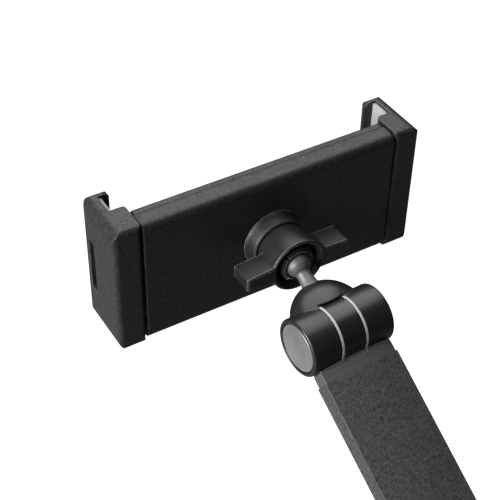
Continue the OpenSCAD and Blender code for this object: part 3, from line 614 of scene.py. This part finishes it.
make_end_discs("head", HEAD, "head")
make_end_discs("elbow", ELBOW, "lower_arm")
make_end_discs("base", BASE, "base")
hood("head_hood", HEAD_LINK, "head", "head_yoke")
swivel_boss = bmesh.new()
turn_profile(swivel_boss, [(0.0, DOME_TOP - BOSS_L), (BOSS_R - 0.8, DOME_TOP - BOSS_L),
                           (BOSS_R - 0.2, DOME_TOP - 6.0), (BOSS_R, DOME_TOP - 4.0)]
             + arc(BOSS_R - 0.6, DOME_TOP - 0.6, 0.6, 0, 90) + [(0.0, DOME_TOP)])
hood("base_hood", BASE_LINK, "base", "base_yoke", swivel_boss)

# ---------- the hollowed lips that close the arm ends up to the barrels ----------

MIDDLE_HALF, LIP_END, LIP_R, CAP_FACE = 5.25, 16.7, 12.45, 13.05
EDGE_HALF, CROWN, CAP_HALF = 3.55, 1.2, 16.9


def lip(bm, low, high):
    """A lip from low to high along X: a cylinder's hollow below, the cap's flat face above."""
    rows, steps, around = [], 8, 14
    for i in range(steps + 1):
        x = low + (high - low) * i / steps
        half = EDGE_HALF + CROWN * (1 - (x / CAP_HALF) ** 2)
        start = math.asin(half / LIP_R)
        row = [(x, LIP_R * math.sin(t), LIP_R * math.cos(t))
               for t in (start * (1 - 2 * k / around) for k in range(around + 1))]
        rows.append(row + [(x, -half, CAP_FACE), (x, half, CAP_FACE)])
    rings = bridge(bm, rows)
    bm.faces.new(rings[0])
    bm.faces.new(rings[-1][::-1])


def make_lips(name, centre, towards, finish, body, spans):
    """The lips of one arm end, on the side of the hinge that the arm is on."""
    bm = bmesh.new()
    for low, high in spans:
        lip(bm, low, high)
    piece = finish_mesh(name, bm, frame_at(centre, towards, HINGE_AXIS), finish, body, 40.0)


outer_spans = [(-LIP_END, -MIDDLE_HALF), (MIDDLE_HALF, LIP_END)]
make_lips("head_cap_lips", HEAD, ELBOW - HEAD, CAP_FINISH["head"], "upper_arm", outer_spans)
make_lips("elbow_cap_lips", ELBOW, HEAD - ELBOW, CAP_FINISH["elbow"], "upper_arm", outer_spans)
make_lips("fork_lip", ELBOW, BASE - ELBOW, CAP_FINISH["elbow"], "lower_arm",
          [(-MIDDLE_HALF, MIDDLE_HALF)])
make_lips("base_cap_lips", BASE, ELBOW - BASE, CAP_FINISH["base"], "lower_arm", outer_spans)

# ---------- ball and neck ----------

BALL_R, NECK_L = 5.3, (BALL - HEAD).length / MM


def make_ball_stud():
    """A neck that widens towards the hood, and the ball at its other end."""
    neck_r, flare_r = 3.0, 3.95
    meet = math.asin(neck_r / BALL_R)
    foot, top = DOME_TOP - 2.2, NECK_L - BALL_R * math.cos(meet) - 0.5
    below = [(0.0, foot)]
    for i in range(17):
        along = i / 16
        below.append((neck_r + (flare_r - neck_r) * (1 - along) ** 1.7,
                      foot + (top - foot) * along))
    below.append((neck_r + 0.18, top + 0.22))
    ball = [(BALL_R * math.sin(a), NECK_L - BALL_R * math.cos(a))
            for a in (meet + (math.pi - meet) * i / 40 for i in range(41))]
    ball[-1] = (0.0, NECK_L + BALL_R)
    bm = bmesh.new()
    turn_profile(bm, below + ball, 96)
    stand_in(finish_mesh("ball_and_neck", bm, HEAD_LINK, STUD, "head", 50.0), "ball_stud")


make_ball_stud()

# ---------- wing nut ----------

COLLAR_R, COLLAR_BACK_R = 12.2, 11.42


def wing_outline():
    """The nut's outline as (x, z) points all round: collar, S-curve and wings, turned a little."""
    half, tip_half, span, corner, sweep, lean = 3.7, 3.1, 23.8, 0.9, 2.6, 1.7
    reach = math.sqrt((COLLAR_R + sweep) ** 2 - (half + sweep) ** 2)
    start = math.atan2(half + sweep, reach)
    quarter = []
    tip_x, tip_z = span - corner, tip_half - corner
    for i in range(7):
        turn = math.radians(90 * i / 6)
        quarter.append((tip_x + corner * math.cos(turn), tip_z + corner * math.sin(turn)))
    quarter += [(tip_x + (reach - tip_x) * i / 8, tip_half + (half - tip_half) * i / 8)
                for i in range(1, 8)]
    for i in range(11):
        turn = math.radians(270) + (start + math.pi - math.radians(270)) * i / 10
        quarter.append((reach + sweep * math.cos(turn), half + sweep + sweep * math.sin(turn)))
    for i in range(1, 27):
        turn = start + (math.pi / 2 - start) * i / 26
        quarter.append((COLLAR_R * math.cos(turn), COLLAR_R * math.sin(turn)))
    mirrored = [(-x, z) for x, z in reversed(quarter[:-1])]
    upper = quarter + mirrored
    lower = [(-x, -z) for x, z in upper]
    turn = math.radians(lean)
    return [(x * math.cos(turn) - z * math.sin(turn), x * math.sin(turn) + z * math.cos(turn))
            for x, z in upper + lower]


def inset_outline(points, inset):
    """The outline moved inwards along its own normals."""
    moved = []
    for i, (x, z) in enumerate(points):
        before, after = points[i - 1], points[(i + 1) % len(points)]
        dx, dz = after[0] - before[0], after[1] - before[1]
        length = math.hypot(dx, dz) or 1.0
        moved.append((x - inset * dz / length, z + inset * dx / length))
    return moved


def drawn_in(points, inner):
    """The outline with its collar drawn in to a smaller radius; the wings stay."""
    moved, fade = [], 4.0
    for x, z in points:
        reach = math.hypot(x, z)
        share = max(0.0, min(1.0, 1.0 - (reach - COLLAR_R) / fade))
        scale = 1.0 - share * (1.0 - inner / COLLAR_R)
        moved.append((x * scale, z * scale))
    return moved


def round_row(outline, radius, height):
    """A circle at a height, with one point in the direction of each outline point."""
    return [(radius * x / math.hypot(x, z), radius * z / math.hypot(x, z), height)
            for x, z in outline]


def make_wing_nut():
    """Collar and wings in one skin, from the bore at the back round to the bore at the front."""
    outline = wing_outline()
    back, front, rim = 9.5, 20.0, 0.6
    bore = (9.5, 6.1)
    collar_back = [bore] + arc(10.7, 6.7, 0.6, -90, 0) + [(COLLAR_BACK_R, back)]
    rows = [round_row(outline, radius, height) for radius, height in collar_back]
    wings = [(drawn_in(outline, COLLAR_BACK_R), 0.0, back), (drawn_in(outline, 11.9), 0.0, 14.5),
             (outline, 0.0, front - rim), (outline, rim, front)]
    for points, inset, height in wings:
        rows.append([(x, z, height) for x, z in inset_outline(points, inset)])
    mouth = [(11.2, front), (10.9, front - 0.3), (8.8, 17.0), (8.1, 15.8), (8.1, 13.0),
             (9.5, 13.0), bore]
    rows += [round_row(outline, radius, height) for radius, height in mouth]
    bm = bmesh.new()
    bridge(bm, rows)
    stand_in(finish_mesh("wing_knob", bm, BACK, KNOB, "wing_nut", 24.0), "wing_nut")


make_wing_nut()

# ---------- clamp screw and knob ----------


def screw_thread(low, high, crest, root, pitch):
    """A threaded rod along Z with a rounded trapezoid thread, run out at both ends."""
    around, per_turn, runout, core = 40, 12, 0.8, root - 0.3

    def radius(phase):
        """The thread's radius at a share of one pitch."""
        phase %= 1.0
        for start, stop, a, b in ((0.0, 0.3, crest, crest), (0.3, 0.5, crest, root),
                                  (0.5, 0.8, root, root), (0.8, 1.0, root, crest)):
            if phase <= stop:
                along = (phase - start) / (stop - start)
                return a + (b - a) * (0.5 - 0.5 * math.cos(math.pi * along))

    count = int((high - low) / pitch * per_turn)
    rows = []
    for k in range(count + 1):
        height = low + (high - low) * k / count
        fade = min(1.0, (height - low) / runout + 0.01, (high - height) / runout + 0.01)
        row = []
        for i in range(around):
            turn = 2 * math.pi * i / around
            reach = core + (radius(height / pitch - i / around) - core) * fade
            row.append((reach * math.cos(turn), reach * math.sin(turn), height))
        rows.append(row)
    bm = bmesh.new()
    closed_rows(bm, rows)
    return bm


def make_clamp_screw():
    """The threaded rod and the plain tip that the foot turns on."""
    low, high = (corner.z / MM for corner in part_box("clamp_screw"))
    tip_l, tip_r = 5.0, 4.0
    bm = screw_thread(low, high - tip_l, 4.95, 4.3, 2.5)
    tip = bmesh.new()
    turn_profile(tip, [(0.0, high - tip_l - 1.0), (tip_r, high - tip_l - 1.0),
                       (tip_r, high - 0.5), (tip_r - 0.5, high), (0.0, high)], 64)
    join(bm, tip)
    piece = finish_mesh("threaded_screw", bm, Matrix.Identity(4), ZINC, "clamp_screw", 60.0)
    stand_in(piece, "clamp_screw")


def make_clamp_knob():
    """The lobed knob: its outline at each height, from the hollow foot to the top."""
    low, high = (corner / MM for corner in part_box("clamp_knob"))
    lobes, lobe_deep, middle_r, tall = 7, 2.6, 5.1, 15.0
    turns = [2 * math.pi * i / 210 for i in range(210)]
    dips = [lobe_deep * (0.5 - 0.5 * math.cos(lobes * turn)) ** 1.5 for turn in turns]

    def ring(radii, height):
        return [(radius * math.cos(turn), radius * math.sin(turn), low.z + height)
                for radius, turn in zip(radii, turns)]

    levels = [(6.2, 2.2), (5.6, 0.8), (4.4, 0.15), (2.6, 0.0), (1.6, 0.25), (0.6, 1.0), (0.1, 2.2),
              (0.0, 4.0), (0.0, 7.5), (0.15, 10.0), (0.7, 12.4), (1.7, 13.8), (3.2, 14.6),
              (5.0, 14.9), (8.0, tall)]
    rows = [ring([high.x - inset - dip for dip in dips], height) for inset, height in levels]
    rows.append(ring([middle_r] * len(turns), tall))
    bm = bmesh.new()
    closed_rows(bm, rows)
    piece = finish_mesh("clamp_grip", bm, Matrix.Identity(4), KNOB, "clamp_screw", 45.0)
    stand_in(piece, "clamp_knob")


make_clamp_screw()
make_clamp_knob()

# ---------- floor, light and camera ----------


def seen_white(tree, target, strength):
    """Drives a strength socket so that only the camera sees the glow."""
    path = node(tree, "LightPath")
    tree.links.new(math_node(tree, "MULTIPLY", path.outputs["Is Camera Ray"], strength), target)


def make_floor():
    """A floor that looks white to the camera, below the lowest place of the clamp's knob."""
    # The knob winds down 14 mm from rest
    size, room = 3.0, 18 * MM
    low = cad_box[0].z - room
    mesh = bpy.data.meshes.new("studio_floor")
    mesh.from_pydata([(-size, -size, low), (size, -size, low), (size, size, low),
                      (-size, size, low)], [], [(0, 1, 2, 3)])
    floor = bpy.data.objects.new("studio_floor", mesh)
    bpy.context.scene.collection.objects.link(floor)
    material, tree, bsdf = new_material("pale_floor")
    bsdf.inputs["Base Color"].default_value = (0.16, 0.16, 0.16, 1.0)
    bsdf.inputs["Roughness"].default_value = 0.9
    bsdf.inputs["Emission Color"].default_value = (1.0, 1.0, 1.0, 1.0)
    seen_white(tree, bsdf.inputs["Emission Strength"], 1.1)
    mesh.materials.append(material)


def soft_light(name, towards, distance, size, power):
    """A rectangular softbox that looks at the holder from a direction."""
    data = bpy.data.lights.new(name, "AREA")
    data.shape = "RECTANGLE"
    data.size, data.size_y = size
    data.energy = power
    light = bpy.data.objects.new(name, data)
    place = Vector(towards).normalized()
    light.location = HOLDER + place * distance
    light.rotation_mode = "QUATERNION"
    light.rotation_quaternion = (-place).to_track_quat("-Z", "Y")
    bpy.context.scene.collection.objects.link(light)


def make_camera():
    """Above, behind and to the left, aimed a little left of and below the holder's middle."""
    azimuth, elevation, roll = (math.radians(a) for a in (-31.77, 41.44, 1.29))
    distance, aim_left, aim_below, lens = 0.51157, 0.00934, 0.00511, 90.17
    back = Vector((math.sin(azimuth) * math.cos(elevation),
                   -math.cos(azimuth) * math.cos(elevation), math.sin(elevation)))
    level = Vector((math.cos(azimuth), math.sin(azimuth), 0.0))
    upright = back.cross(level)
    right = level * math.cos(roll) + upright * math.sin(roll)
    up = upright * math.cos(roll) - level * math.sin(roll)
    data = bpy.data.cameras.new("studio_camera")
    data.lens = lens
    data.clip_start = 0.01
    camera = bpy.data.objects.new("studio_camera", data)
    turn = Matrix((right, up, back)).transposed().to_4x4()
    place = HOLDER + back * distance - right * aim_left - up * aim_below
    camera.matrix_world = Matrix.Translation(place) @ turn
    bpy.context.scene.collection.objects.link(camera)
    bpy.context.scene.camera = camera


def make_world():
    """A white backdrop for the camera that lights the object only faintly."""
    world = bpy.data.worlds.new("studio")
    world.use_nodes = True
    tree = world.node_tree
    backdrop = tree.nodes["Background"]
    backdrop.inputs["Color"].default_value = (1.0, 1.0, 1.0, 1.0)
    sight = node(tree, "LightPath").outputs["Is Camera Ray"]
    tree.links.new(remap(tree, sight, 0.0, 1.0, 0.06, 1.1), backdrop.inputs["Strength"])
    bpy.context.scene.world = world


make_floor()
soft_light("top", (0.15, 0.42, 0.87), 0.9, (1.1, 1.1), 13.0)
soft_light("left", (-1.0, -0.12, 0.3), 1.0, (0.5, 0.7), 24.0)
make_camera()
make_world()
bpy.context.scene.view_settings.view_transform = "Standard"
